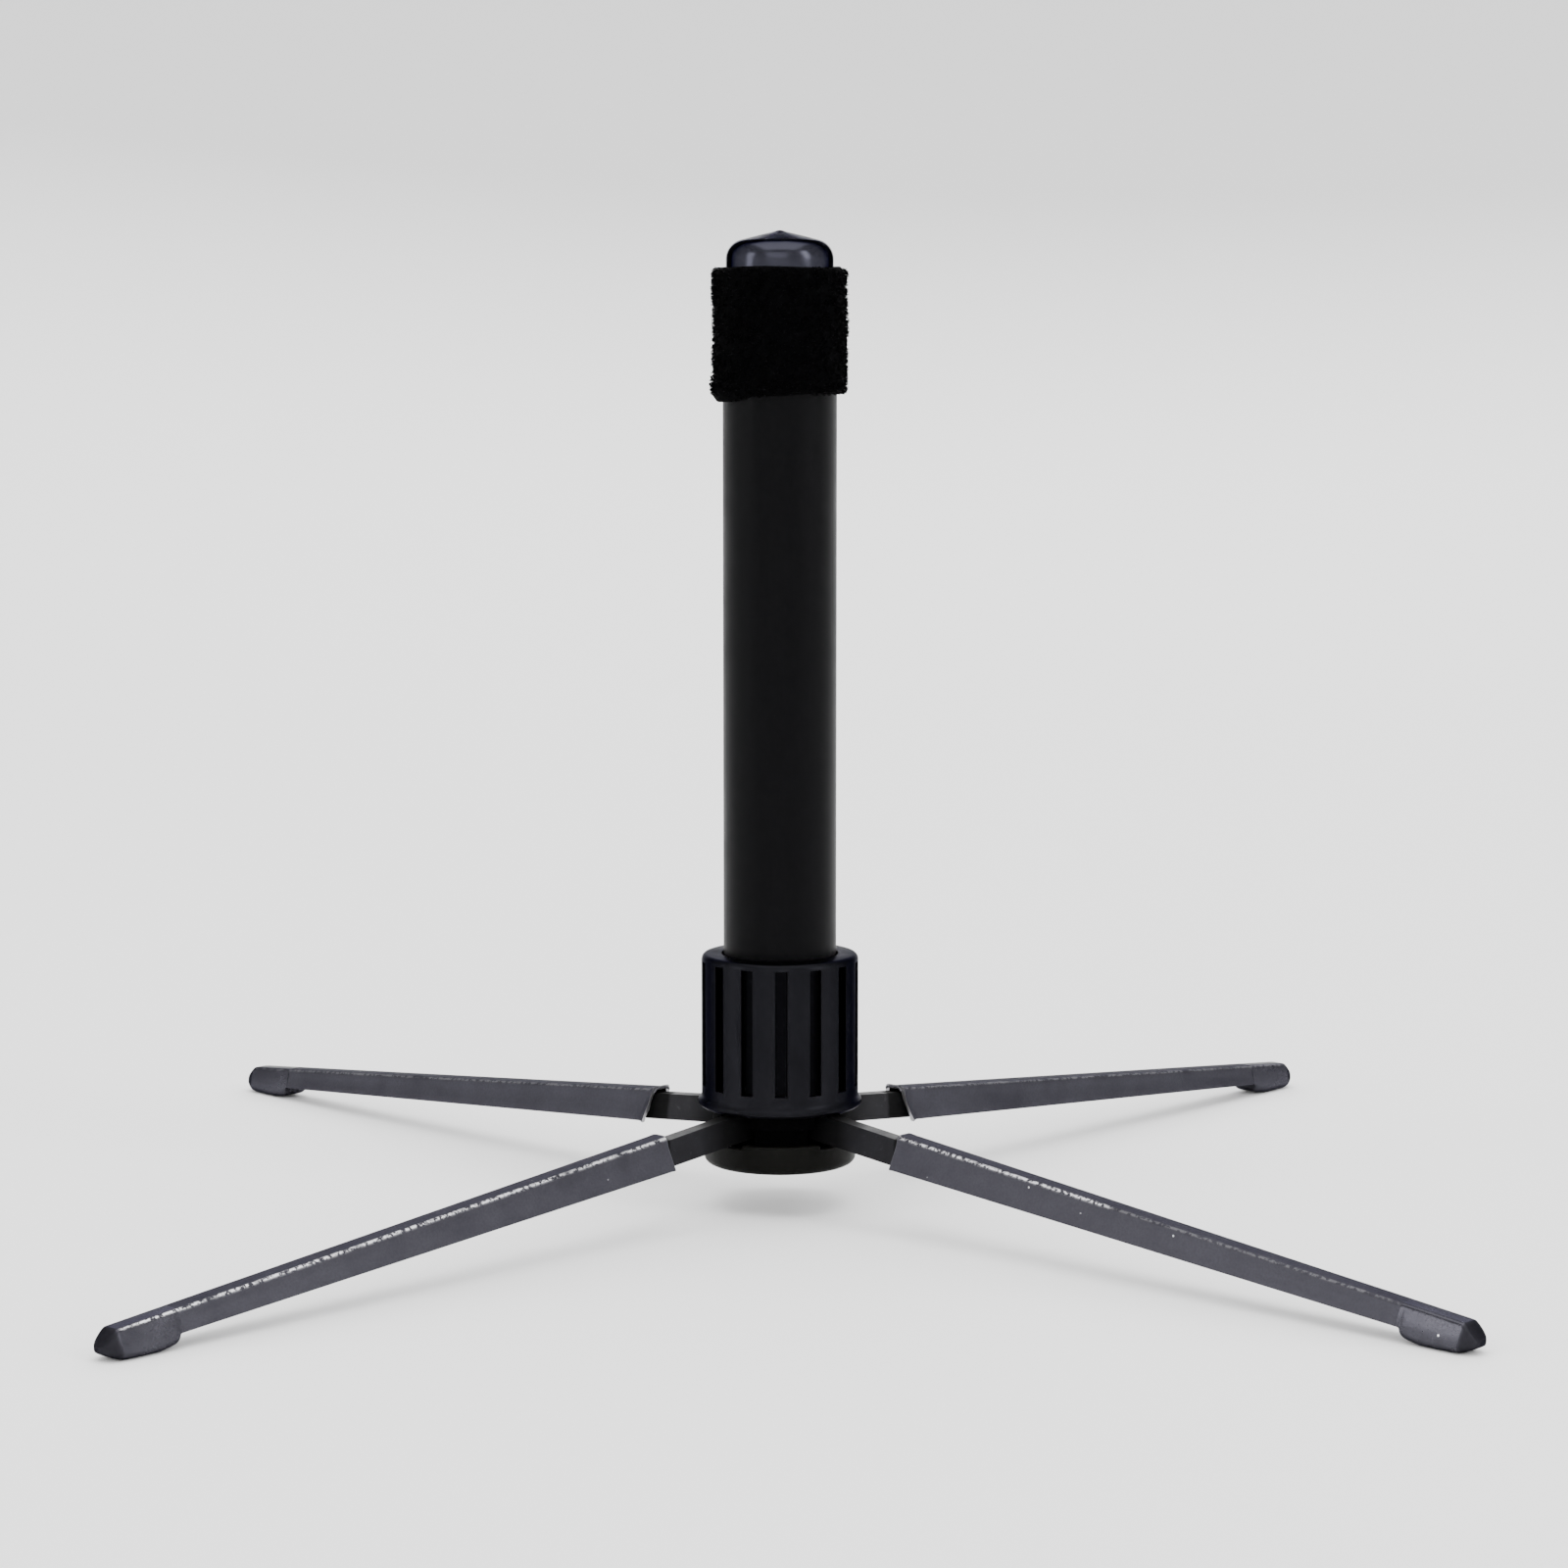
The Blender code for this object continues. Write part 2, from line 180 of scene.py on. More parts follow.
def softened(node, name, material, width, segments=2):
    """A copy of a CAD node whose edges are rounded, as moulding and deburring leave them."""
    weld, flat, sharp = 0.004 * MM, math.radians(0.6), math.radians(32)
    bm = bmesh.new()
    bm.from_mesh(frame["nodes"][node].data)
    bmesh.ops.remove_doubles(bm, verts=bm.verts, dist=weld)
    bmesh.ops.dissolve_limit(
        bm, angle_limit=flat, use_dissolve_boundaries=False, verts=bm.verts, edges=bm.edges
    )
    mesh = mesh_from(bm, name)
    mesh.materials.clear()
    obj = new_object(name, mesh, material)
    smooth(mesh, 30)
    bevel = obj.modifiers.new("Rounding", "BEVEL")
    bevel.width = width
    bevel.segments = segments
    bevel.limit_method = "ANGLE"
    bevel.angle_limit = sharp
    bevel.harden_normals = True
    bevel.use_clamp_overlap = True
    return obj


def arc(centre, radius, start, end, steps):
    """Points of an arc in a profile, angles in degrees from straight outwards."""
    points = []
    for i in range(steps + 1):
        angle = math.radians(start + (end - start) * i / steps)
        points.append((centre[0] + radius * math.cos(angle), centre[1] + radius * math.sin(angle)))
    return points


def place(obj, body, nodes):
    """Makes a piece stand for CAD nodes and move with a body."""
    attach(obj, body)
    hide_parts(*nodes)


# ---------------------------------------------------------------- materials

class Surface:
    """A Principled material with procedural textures in object space, sizes in metres."""

    def __init__(self, name, metallic=0.0, specular=0.5, tint=(1, 1, 1)):
        self.material = bpy.data.materials.new(name)
        self.material.use_nodes = True
        self.tree = self.material.node_tree
        self.shader = self.tree.nodes["Principled BSDF"]
        self.shader.inputs["Metallic"].default_value = metallic
        self.shader.inputs["Specular IOR Level"].default_value = specular
        self.shader.inputs["Specular Tint"].default_value = (*tint, 1.0)
        self.place = self.tree.nodes.new("ShaderNodeTexCoord").outputs["Object"]

    def link(self, output, value):
        self.tree.links.new(value, output)

    def stretched(self, factors):
        node = self.tree.nodes.new("ShaderNodeMapping")
        node.inputs["Scale"].default_value = factors
        self.link(node.inputs["Vector"], self.place)
        return node.outputs["Vector"]

    def noise(self, feature, detail=3.0, roughness=0.55, vector=None):
        node = self.tree.nodes.new("ShaderNodeTexNoise")
        node.inputs["Scale"].default_value = 1 / feature
        node.inputs["Detail"].default_value = detail
        node.inputs["Roughness"].default_value = roughness
        self.link(node.inputs["Vector"], vector or self.place)
        return node.outputs["Fac"]

    def specks(self, spacing):
        """Distance from the nearest speck, in spacings."""
        node = self.tree.nodes.new("ShaderNodeTexVoronoi")
        node.inputs["Scale"].default_value = 1 / spacing
        self.link(node.inputs["Vector"], self.place)
        return node.outputs["Distance"]

    def attribute(self, name):
        node = self.tree.nodes.new("ShaderNodeAttribute")
        node.attribute_name = name
        return node.outputs["Fac"]

    def remap(self, value, from_low, from_high, to_low=0.0, to_high=1.0):
        node = self.tree.nodes.new("ShaderNodeMapRange")
        node.inputs["From Min"].default_value = from_low
        node.inputs["From Max"].default_value = from_high
        node.inputs["To Min"].default_value = to_low
        node.inputs["To Max"].default_value = to_high
        self.link(node.inputs["Value"], value)
        return node.outputs["Result"]

    def from_axis(self):
        """Distance from the upright axis of the post at rest, in metres."""
        node = self.tree.nodes.new("ShaderNodeVectorMath")
        node.operation = "LENGTH"
        self.link(node.inputs[0], self.stretched((1, 1, 0)))
        return node.outputs["Value"]

    def height(self):
        """Height above the floor at rest, in metres."""
        node = self.tree.nodes.new("ShaderNodeSeparateXYZ")
        self.link(node.inputs["Vector"], self.place)
        return node.outputs["Z"]

    def maths(self, operation, first, second):
        """Works on two values, each a number or a socket."""
        node = self.tree.nodes.new("ShaderNodeMath")
        node.operation = operation
        for socket, value in zip(node.inputs, (first, second)):
            if isinstance(value, (int, float)):
                socket.default_value = value
            else:
                self.link(socket, value)
        return node.outputs[0]

    def mix(self, share, first, second):
        """Mixes two colours, each a tuple or a socket."""
        node = self.tree.nodes.new("ShaderNodeMix")
        node.data_type = "RGBA"
        self.link(node.inputs["Factor"], share)
        for socket, value in ((node.inputs["A"], first), (node.inputs["B"], second)):
            if isinstance(value, tuple):
                socket.default_value = (*value, 1.0)
            else:
                self.link(socket, value)
        return node.outputs["Result"]

    def bump(self, *heights):
        """Chains (height socket, depth in metres) pairs into the surface normal."""
        normal = None
        for height, depth in heights:
            node = self.tree.nodes.new("ShaderNodeBump")
            node.inputs["Distance"].default_value = depth
            self.link(node.inputs["Height"], height)
            if normal is not None:
                self.link(node.inputs["Normal"], normal)
            normal = node.outputs["Normal"]
        self.link(self.shader.inputs["Normal"], normal)

    def finish(self, colour, roughness):
        self.link(self.shader.inputs["Base Color"], colour)
        self.link(self.shader.inputs["Roughness"], roughness)
        return self.material


def moulded(name, dark, light, roughness, grain, specular):
    """Moulded plastic: faint cloudy colour, fine grain, and patches that handling has polished."""
    surface = Surface(name, specular=specular)
    cloud = surface.noise(CLOUDS)
    handled = surface.noise(HANDLED_PATCHES, 5.0)
    surface.bump((surface.noise(MOULD_GRAIN, 2.0), grain), (handled, 4 * grain))
    return surface.finish(
        surface.mix(cloud, dark, light),
        surface.remap(handled, 0.3, 0.7, roughness * 0.85, roughness * 1.15),
    )


def fluted_black():
    """Satin black collar, with painted shade darkening its grooves."""
    dark, light, painted_groove_shade = (0.0058, 0.0058, 0.0072), (0.0105, 0.0105, 0.0125), (0.0024, 0.0024, 0.0030)
    face, groove_floor = 11.1 * MM, 10.8 * MM
    groove_top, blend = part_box("clamp_collar")[1].z - 1.0 * MM, 0.1 * MM
    surface = Surface("collar_satin_black", metallic=1.0, tint=(0.42, 0.42, 0.44))
    cloud = surface.noise(CLOUDS)
    handled = surface.noise(HANDLED_PATCHES, 5.0)
    sunk = surface.remap(surface.from_axis(), face, groove_floor)
    below = surface.remap(surface.height(), groove_top + blend, groove_top - blend)
    surface.bump((surface.noise(MOULD_GRAIN, 2.0), 0.01 * MM), (handled, 0.04 * MM))
    # Painted shade: the grooves are coloured darker than the faces.
    return surface.finish(
        surface.mix(surface.maths("MULTIPLY", sunk, below), surface.mix(cloud, dark, light), painted_groove_shade),
        surface.remap(handled, 0.3, 0.7, 0.3, 0.42),
    )


def drawn_tube():
    """Satin tube: long faint streaks from drawing and a little dust in the finish."""
    dark, light, pale_dust = (0.0005, 0.0005, 0.0008), (0.0010, 0.0010, 0.0015), (0.03, 0.03, 0.033)
    streak_width, streak_stretch = 0.5 * MM, (1, 1, 0.02)
    surface = Surface("tube_satin_black", specular=0.05)
    streaks = surface.noise(streak_width, 3.0, vector=surface.stretched(streak_stretch))
    cloud = surface.noise(14 * MM, 4.0)
    dust = surface.remap(surface.specks(1.6 * MM), 0.05, 0.02)
    dust = surface.maths("MULTIPLY", dust, surface.remap(cloud, 0.55, 0.7))
    surface.bump((streaks, 0.006 * MM), (surface.noise(0.3 * MM, 2.0), 0.003 * MM))
    return surface.finish(
        surface.mix(surface.maths("MULTIPLY", dust, 0.2), surface.mix(streaks, dark, light), pale_dust),
        surface.remap(surface.maths("ADD", streaks, cloud), 0.7, 1.3, 0.34, 0.46),
    )


def glossy_cap():
    """Glossy black whose reflections stay dim even where the crown is seen edge on."""
    surface = Surface("cap_gloss_black", metallic=1.0, tint=(0.22, 0.22, 0.235))
    ripple = surface.noise(3.5 * MM, 2.0)
    smudge = surface.noise(2.2 * MM, 5.0)
    surface.bump((ripple, 0.05 * MM), (surface.noise(0.4 * MM, 2.0), 0.004 * MM))
    return surface.finish(
        surface.mix(smudge, (0.022, 0.022, 0.030), (0.036, 0.036, 0.046)),
        surface.remap(smudge, 0.35, 0.7, 0.16, 0.26),
    )


def gunmetal(name, smooth_roughness, rough_roughness, lumps):
    """Gunmetal paint, mottled and dusty, with a painted glint along the bends given as paint rubbed
    through to bare steel, painted shade on the inside faces, and a darker nose.

    The vertex attributes edge, bare and dark say where the painted glint goes, where the paint is
    cut through, and where the painted shade and the darker nose go. lumps is the depth of the
    mottling, in metres.
    """
    dark_paint, light_paint = (0.028, 0.0272, 0.033), (0.068, 0.0663, 0.079)
    dull_paint, inner_shade_and_nose_dark, bare_steel_and_glint = (0.030, 0.029, 0.036), (0.0015, 0.0015, 0.0018), (0.86, 0.85, 0.88)
    surface = Surface(name, metallic=1.0, tint=(0.4, 0.4, 0.41))
    mottle = surface.noise(6 * MM, 5.0, 0.6)
    grain = surface.noise(0.35 * MM, 3.0)
    breaks = surface.noise(0.7 * MM, 4.0, 0.7)
    paint = surface.mix(mottle, dark_paint, light_paint)
    paint = surface.mix(surface.maths("MULTIPLY", grain, 0.5), paint, dull_paint)
    speck = surface.remap(surface.specks(4.0 * MM), 0.05, 0.03)
    speck = surface.maths("MULTIPLY", speck, surface.remap(mottle, 0.5, 0.58))
    # Painted glint: broken lines of bare steel along the top bends, where light glinted off them.
    glint_worn = surface.maths("MULTIPLY", surface.attribute("edge"), surface.remap(breaks, 0.46, 0.52))
    glint_worn = surface.maths("MULTIPLY", glint_worn, surface.remap(mottle, 0.32, 0.46))
    bare = surface.maths("MAXIMUM", glint_worn, surface.attribute("bare"))
    # Painted shade colours the channel's inside faces near black; the same colour darkens the foot
    # towards its nose.
    hidden = surface.attribute("dark")
    colour = surface.mix(hidden, paint, inner_shade_and_nose_dark)
    colour = surface.mix(surface.maths("MAXIMUM", bare, speck), colour, bare_steel_and_glint)
    uneven = surface.maths("ADD", mottle, grain)
    rough = surface.remap(uneven, 0.7, 1.3, smooth_roughness, rough_roughness)
    surface.bump((grain, 0.006 * MM), (mottle, lumps))
    return surface.finish(colour, surface.maths("ADD", rough, surface.maths("MULTIPLY", hidden, 0.4)))


def painted_root(name, mouth):
    """Dark paint, scuffed along the bar, with painted shade in black at the hinge and in the channel.

    mouth is the distance from the post's axis at which the painted shade in the channel's mouth begins.
    """
    dark_paint, light_paint = (0.005, 0.005, 0.006), (0.014, 0.0137, 0.0165)
    scuffed, painted_shade_black = (0.05, 0.05, 0.056), (0.0010, 0.0010, 0.0012)
    hinge_shade_start, hinge_shade_full, mouth_blend = 18.5 * MM, 13.5 * MM, 0.6 * MM
    surface = Surface(name, specular=0.08)
    mottle = surface.noise(3 * MM, 5.0)
    grain = surface.noise(0.25 * MM, 3.0)
    scuff = surface.remap(surface.noise(1.1 * MM, 6.0, 0.7), 0.6, 0.72)
    paint = surface.mix(mottle, dark_paint, light_paint)
    paint = surface.mix(surface.maths("MULTIPLY", scuff, 0.35), paint, scuffed)
    # Painted shade: black near the hinge and from the channel's mouth inwards.
    reach = surface.maths("ADD", surface.from_axis(), surface.maths("MULTIPLY", mottle, 1.2 * MM))
    at_hinge = surface.remap(reach, hinge_shade_start, hinge_shade_full)
    in_channel = surface.remap(reach, mouth, mouth + mouth_blend)
    painted_shade = surface.maths("MAXIMUM", at_hinge, in_channel)
    surface.bump((grain, 0.012 * MM), (mottle, 0.05 * MM))
    rough = surface.remap(mottle, 0.3, 0.7, 0.36, 0.5)
    return surface.finish(
        surface.mix(painted_shade, paint, painted_shade_black),
        surface.maths("ADD", rough, surface.maths("MULTIPLY", painted_shade, 0.35)),
    )


def black_pile():
    surface = Surface("pile_black", specular=0.02)
    tone = surface.noise(0.8 * MM, 3.0)
    return surface.finish(
        surface.mix(tone, (0.0004, 0.0004, 0.0005), (0.0016, 0.0016, 0.0019)),
        surface.remap(tone, 0.3, 0.7, 0.9, 1.0),
    )


def plain_steel():
    surface = Surface("fastener_steel", metallic=1.0)
    grain = surface.noise(0.2 * MM, 4.0)
    surface.bump((grain, 0.006 * MM))
    return surface.finish(
        surface.mix(grain, (0.42, 0.42, 0.43), (0.62, 0.62, 0.63)),
        surface.remap(grain, 0.3, 0.7, 0.25, 0.45),
    )


def studio_white():
    surface = Surface("stage_white", specular=0.2)
    tone = surface.noise(400 * MM, 2.0)
    return surface.finish(
        surface.mix(tone, (0.94, 0.94, 0.94), (0.95, 0.95, 0.95)),
        surface.remap(tone, 0, 1, 0.8, 0.9),
    )


# ---------------------------------------------------------------- post

def make_tube(material):
    low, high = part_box("post_tube")
    radius = high.x
    bore = radius - 0.9 * MM
    edge = 0.15 * MM
    tube = turned("post_tube_skin", [
        (radius - edge, high.z), (radius, high.z - edge),
        (radius, low.z + edge), (radius - edge, low.z),
        (bore + edge, low.z), (bore, low.z + edge),
        (bore, high.z - edge), (bore + edge, high.z),
    ], material)
    place(tube, "post", ["post_tube"])


def make_cap(material):
    """A domed plug: a small nib on top, a shallow crown, a round shoulder and a hollow spigot."""
    low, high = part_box("end_cap")
    radius, shoulder, spigot, hollow = high.x, 2.9 * MM, 7.15 * MM, 5.6 * MM
    shoulder_top = high.z - 1.25 * MM
    seat = low.z + 3.2 * MM
    nib = [
        (0, high.z), (0.25 * MM, high.z - 0.012 * MM),
        (0.5 * MM, high.z - 0.06 * MM), (0.75 * MM, high.z - 0.15 * MM),
        (1.0 * MM, high.z - 0.22 * MM), (1.3 * MM, high.z - 0.29 * MM),
    ]
    side = arc((radius - shoulder, shoulder_top - shoulder), shoulder, 75, 0, 14)
    crown, crown_steps, crown_curve = [], 7, 1.06
    for i in range(1, crown_steps):
        share = i / crown_steps
        crown.append((nib[-1][0] + (side[0][0] - nib[-1][0]) * share,
                      nib[-1][1] + (side[0][1] - nib[-1][1]) * share ** crown_curve))
    cap = turned("end_cap_gloss", nib + crown + side + [
        (radius, seat + 0.2 * MM), (radius - 0.2 * MM, seat), (spigot, seat),
        (spigot, low.z + 0.3 * MM), (spigot - 0.3 * MM, low.z), (hollow, low.z),
        (hollow, seat + 1.2 * MM), (0.6 * hollow, high.z - 2.6 * MM), (0, high.z - 2.0 * MM),
    ], material, closed=False)
    place(cap, "post", ["end_cap"])


# ---------------------------------------------------------------- collar and hub

def make_collar_and_hub(collar_material, crown_material, cup_material, steel):
    collar = softened("clamp_collar", "clamp_collar_moulded", collar_material, 0.22 * MM, 3)
    place(collar, "collar", ["clamp_collar"])
    crown = softened("hub_crown", "hub_crown_moulded", crown_material, 0.12 * MM)
    place(crown, "base", ["hub_crown"])
    cup = softened("base_cup", "base_cup_moulded", cup_material, 0.15 * MM)
    place(cup, "base", ["base_cup"])
    for node in ["centre_screw"] + [f"leg_pin_{name}" for name in LEGS]:
        frame["nodes"][node].data.materials.clear()
        frame["nodes"][node].data.materials.append(steel)


# ---------------------------------------------------------------- legs

def leg_matrix(name):
    """Where a leg's own frame sits: origin on its pin, +X along the leg, +Z up."""
    joint = next(j for j in frame["joints"] if j["name"] == f"fold_{name}")
    axis = Vector(joint["axis"])
    azimuth = math.atan2(axis.x, -axis.y)
    spread = Matrix.Translation(joint["pos_m"]) @ Matrix.Rotation(azimuth, 4, "Z")
    return spread @ Matrix.Rotation(LEG_DROOP, 4, "Y")


def half_width(level):
    """Half the outside width of a leg's channel at a height above its pin."""
    return CHANNEL_TOP_HALF_WIDTH + (CHANNEL_TOP - level) * CHANNEL_FLARE


def channel_outline(height, dent):
    """The section of the inverted channel with rounded bends. dent pushes the side walls in.

    Also gives the painted glint of each point, highest on the two top bends, and which points are
    inside, where painted shade goes.
    """
    wall = SHEET * math.hypot(1, CHANNEL_FLARE)
    bottom = CHANNEL_TOP - height
    hem, turned_in = 0.3 * MM, 0.15 * MM
    centre = (half_width(CHANNEL_TOP - BEND) - BEND * BEND_INSET, CHANNEL_TOP - BEND)
    right = [
        (half_width(bottom) - wall - turned_in, bottom + 0.04 * MM),
        (half_width(bottom) - hem, bottom),
        (half_width(bottom) - 0.08 * MM, bottom + 0.07 * MM),
        (half_width(bottom + hem), bottom + hem),
    ]
    for share in (0.3, 0.6, 0.85):
        level = bottom + hem + (height - BEND - hem) * share
        right.append((half_width(level) - dent * math.sin(math.pi * share), level))
    right += arc(centre, BEND, 15, 90, 5)
    # The painted glint sits in the middle of each top bend.
    glint_wear = [0.0] * 8 + [0.1, 1.0, 0.8, 0.0, 0.0]
    inner = []
    for share in (0.0, 0.35, 0.7, 1.0):
        level = CHANNEL_TOP - SHEET - (height - 2 * SHEET) * share
        inner.append((half_width(level) - wall - dent * math.sin(math.pi * share), level))
    inner.append((half_width(bottom + SHEET) - wall - turned_in, bottom + SHEET - 0.05 * MM))
    left = [(-y, z) for y, z in reversed(right)]
    inner_left = [(-y, z) for y, z in reversed(inner)]
    outside, inside = 2 * len(right), 2 * len(inner)
    # The inside points take painted shade.
    hidden = [0.0] * outside + [1.0] * inside
    return right + left + inner_left + inner, glint_wear + glint_wear[::-1] + [0.0] * inside, hidden


def make_channel(name, seed, glint_worn, glint_reach, cut_edge, slant, material):
    """A bent sheet channel, a little uneven along its length, with a raw flared edge at its mouth.

    worn is how strong the painted glint on the bends is, given as paint rubbed through to bare
    steel, up to glint_reach along the leg. cut_edge is how bare the cut edge is, and slant how far it
    leans back for each unit of depth.
    """
    raw_edge, flared, straight = 0.05 * MM, 1.4 * MM, 9 * MM
    wave_length, dent, faint = 17 * MM, 0.1 * MM, 0.1
    flare, near_mouth, crumple = 0.015 + 0.28 * slant, 6 * MM, 1.1 * MM
    count = 44
    places = [CHANNEL_START + raw_edge * share for share in (0.0, 1.0)]
    places += [CHANNEL_START + flared * share for share in (0.35, 0.65, 1.0)]
    for i in range(1, count + 1):
        places.append(CHANNEL_START + flared + (CHANNEL_END - CHANNEL_START - flared) * i / count)
    stations = []
    for along in places:
        share = (along - CHANNEL_START) / (CHANNEL_END - CHANNEL_START)
        height = CHANNEL_HEIGHT + (CHANNEL_END_HEIGHT - CHANNEL_HEIGHT) * share
        wave = noise.noise(Vector((along / wave_length, seed, 0)))
        fade = min(1.0, (CHANNEL_END - along) / straight)
        outline, glint_wear, hidden = channel_outline(height, (dent + dent * wave) * fade)
        spread = 1 + flare * max(0.0, 1 - (along - CHANNEL_START) / flared) ** 2
        stations.append((along, [(y * spread, z * spread) for y, z in outline]))
    # edge carries the painted glint on the bends, and dark the painted shade on the inside faces.
    obj = lofted(f"leg_channel_sheet_{name}", stations, material, {
        "edge": lambda s, p: glint_wear[p] * (glint_worn if places[s] < glint_reach else faint * glint_worn),
        "bare": lambda s, p: cut_edge if s == 0 else 0.0,
        "dark": lambda s, p: hidden[p] if s else 0.0,
    })
    for vertex in obj.data.vertices:
        near = max(0.0, 1 - (vertex.co.x - CHANNEL_START) / near_mouth)
        crumpled = noise.noise(vertex.co / crumple + Vector((seed, 0, 0)))
        vertex.co.x += slant * near * max(0.0, CHANNEL_TOP - vertex.co.z)
        vertex.co.y += crumple * slant * near ** 3 * crumpled
    obj.data.transform(leg_matrix(name))
    place(obj, f"leg_{name}", [f"leg_channel_{name}"])


def make_lip(name, seed, cut_edge, material):
    """The rolled burr along the top of a channel's mouth, heavier and drooping at its ends."""
    sides, steps, reach = 10, 18, 1.62 * MM
    thickness, thicker_end, least = 0.17, 0.1, 0.02
    sunk, droop, ripple, ripple_length = 0.08 * MM, 0.5 * MM, 0.05 * MM, 0.6 * MM
    stations = []
    for i in range(steps + 1):
        across = reach * (2 * i / steps - 1)
        end = abs(across / reach)
        wave = noise.noise(Vector((across / ripple_length, seed, 5))) * ripple
        rounded_end = math.sqrt(max(least, 1 - end ** 12))
        size = (thickness + thicker_end * end ** 2) * MM * rounded_end
        level = CHANNEL_TOP - sunk - droop * end ** 4 + wave
        ring = []
        for s in range(sides):
            turn = 2 * math.pi * s / sides
            along = CHANNEL_START - 0.1 * MM + size * math.cos(turn)
            ring.append((-along, level + size * math.sin(turn)))
        stations.append((across, ring))
    obj = lofted(f"leg_channel_lip_{name}", stations, material, {
        "bare": lambda s, p: 0.8 * cut_edge if p in (0, 1, 9) else 0.05,
    })
    obj.data.transform(leg_matrix(name) @ Matrix.Rotation(math.radians(90), 4, "Z"))
    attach(obj, f"leg_{name}")


def foot_section(top, bottom, draw_in=1.0, under=1.1 * MM):
    """A section of the foot, flush with the channel and rounded by under below.

    draw_in narrows it.
    """
    bend = min(BEND, (top - bottom) / 3)
    under = min(under, (top - bottom) / 2.2)
    waist = min(half_width(bottom + under), FOOT_HALF_WIDTH)
    shoulder = min(half_width(top - bend), FOOT_HALF_WIDTH)
    right = arc((waist - under, bottom + under), under, -90, 0, 7)
    right += arc((shoulder - bend * BEND_INSET, top - bend), bend, 15, 90, 5)
    right = [(y * draw_in, z) for y, z in right]
    return right + [(-y, z) for y, z in reversed(right)]


def make_foot(name, glint_worn, material, pivot_height):
    """The foot: flush with the channel on top, a heel below, a flat sole and a slanted nose."""
    heel = CHANNEL_END + 0.02 * MM
    plug_length, plug_top, plug_bottom, plug_width = 7.5 * MM, 1.5 * MM, -0.1 * MM, 0.55
    channel_bottom = CHANNEL_TOP - CHANNEL_END_HEIGHT
    tip_top, tip_bottom, nose_bend, tip_draw_in = 0.3 * MM, -0.4 * MM, 0.06, 0.8
    top_bends = (10, 11, 16, 17)

    def floor_level(along):
        return (along * math.sin(LEG_DROOP) - pivot_height) / math.cos(LEG_DROOP)

    plug = foot_section(plug_top, plug_bottom, plug_width)
    stations = [(heel - plug_length, plug), (heel, plug)]
    heel_profile = ((0.0, 0.0), (0.3, 0.05), (0.5, 0.2), (0.6, 0.5), (0.7, 0.8),
                    (0.9, 1.1), (1.25, 1.32), (1.8, 1.45))
    for along, drop in heel_profile:
        stations.append((heel + along * MM, foot_section(
            CHANNEL_TOP, channel_bottom - drop * MM, under=(0.25 + 0.6 * drop) * MM)))
    for along in (SOLE_START, 0.5 * (SOLE_START + SOLE_END), SOLE_END):
        stations.append((along, foot_section(CHANNEL_TOP, floor_level(along))))
    first_nose = len(stations)
    for share in (-0.06, 0.0, 0.05, 0.12, 0.24, 0.36, 0.467, 0.56, 0.66, 0.76, 0.85, 0.92, 0.97, 1.0):
        along = NOSE_START + (LEG_LENGTH - NOSE_START) * share
        past = share - nose_bend
        slant = (math.hypot(past, nose_bend) + past) / 2
        curl = max(0.0, (along - SOLE_END) / (LEG_LENGTH - SOLE_END)) ** 2
        stations.append((along, foot_section(
            CHANNEL_TOP + (tip_top - CHANNEL_TOP) * slant,
            floor_level(along) + (tip_bottom - floor_level(LEG_LENGTH)) * curl,
            math.sqrt(1 - tip_draw_in * max(0.0, share) ** 2))))
    # The foot darkens towards its nose, and its top bends carry the painted glint as bare steel.
    obj = lofted(f"leg_foot_dipped_{name}", stations, material, {
        "dark": lambda s, p: 0.55 * min(1.0, max(0.0, (s - first_nose - 1) / 3)),
        "edge": lambda s, p: 0.9 * glint_worn if s < first_nose and p in top_bends else 0.0,
    })
    obj.data.transform(leg_matrix(name))
    place(obj, f"leg_{name}", [f"leg_foot_{name}"])


def make_legs(channel_material, front_root_material, back_root_material, foot_material):
    """All four legs.

    The painted glint on the bends, given as paint rubbed through to bare steel, runs along the front
    left leg and the inner half of the front right, and is faint at the back.
    """
    pivot_height = next(j for j in frame["joints"] if j["name"].startswith("fold_"))["pos_m"][2]
    for seed, name in enumerate(LEGS):
        front = name.startswith("front")
        # Strong painted glint on the front legs' bends, faint on the back legs'.
        glint_worn, cut_edge, slant = (1.0, 0.1, 0.0) if front else (0.12, 0.5, 0.28)
        root_material = front_root_material if front else back_root_material
        glint_reach, foot_glint = LEG_LENGTH, glint_worn
        if name == "front_right":
            glint_reach, foot_glint = 60 * MM, 0.0
        make_channel(name, 3.7 * seed, glint_worn, glint_reach, cut_edge, slant, channel_material)
        make_lip(name, seed, cut_edge, channel_material)
        make_foot(name, foot_glint, foot_material, pivot_height)
        root = softened(f"leg_root_{name}", f"leg_root_painted_{name}", root_material, 0.18 * MM, 3)
        place(root, f"leg_{name}", [f"leg_root_{name}"])


# ---------------------------------------------------------------- pile band

def sag_at(angle):
    """How far the band's lower edge has sagged at an angle round the tube, from 0 to 1."""
    return max(0.0, math.cos(angle - SAG_ANGLE)) ** 3


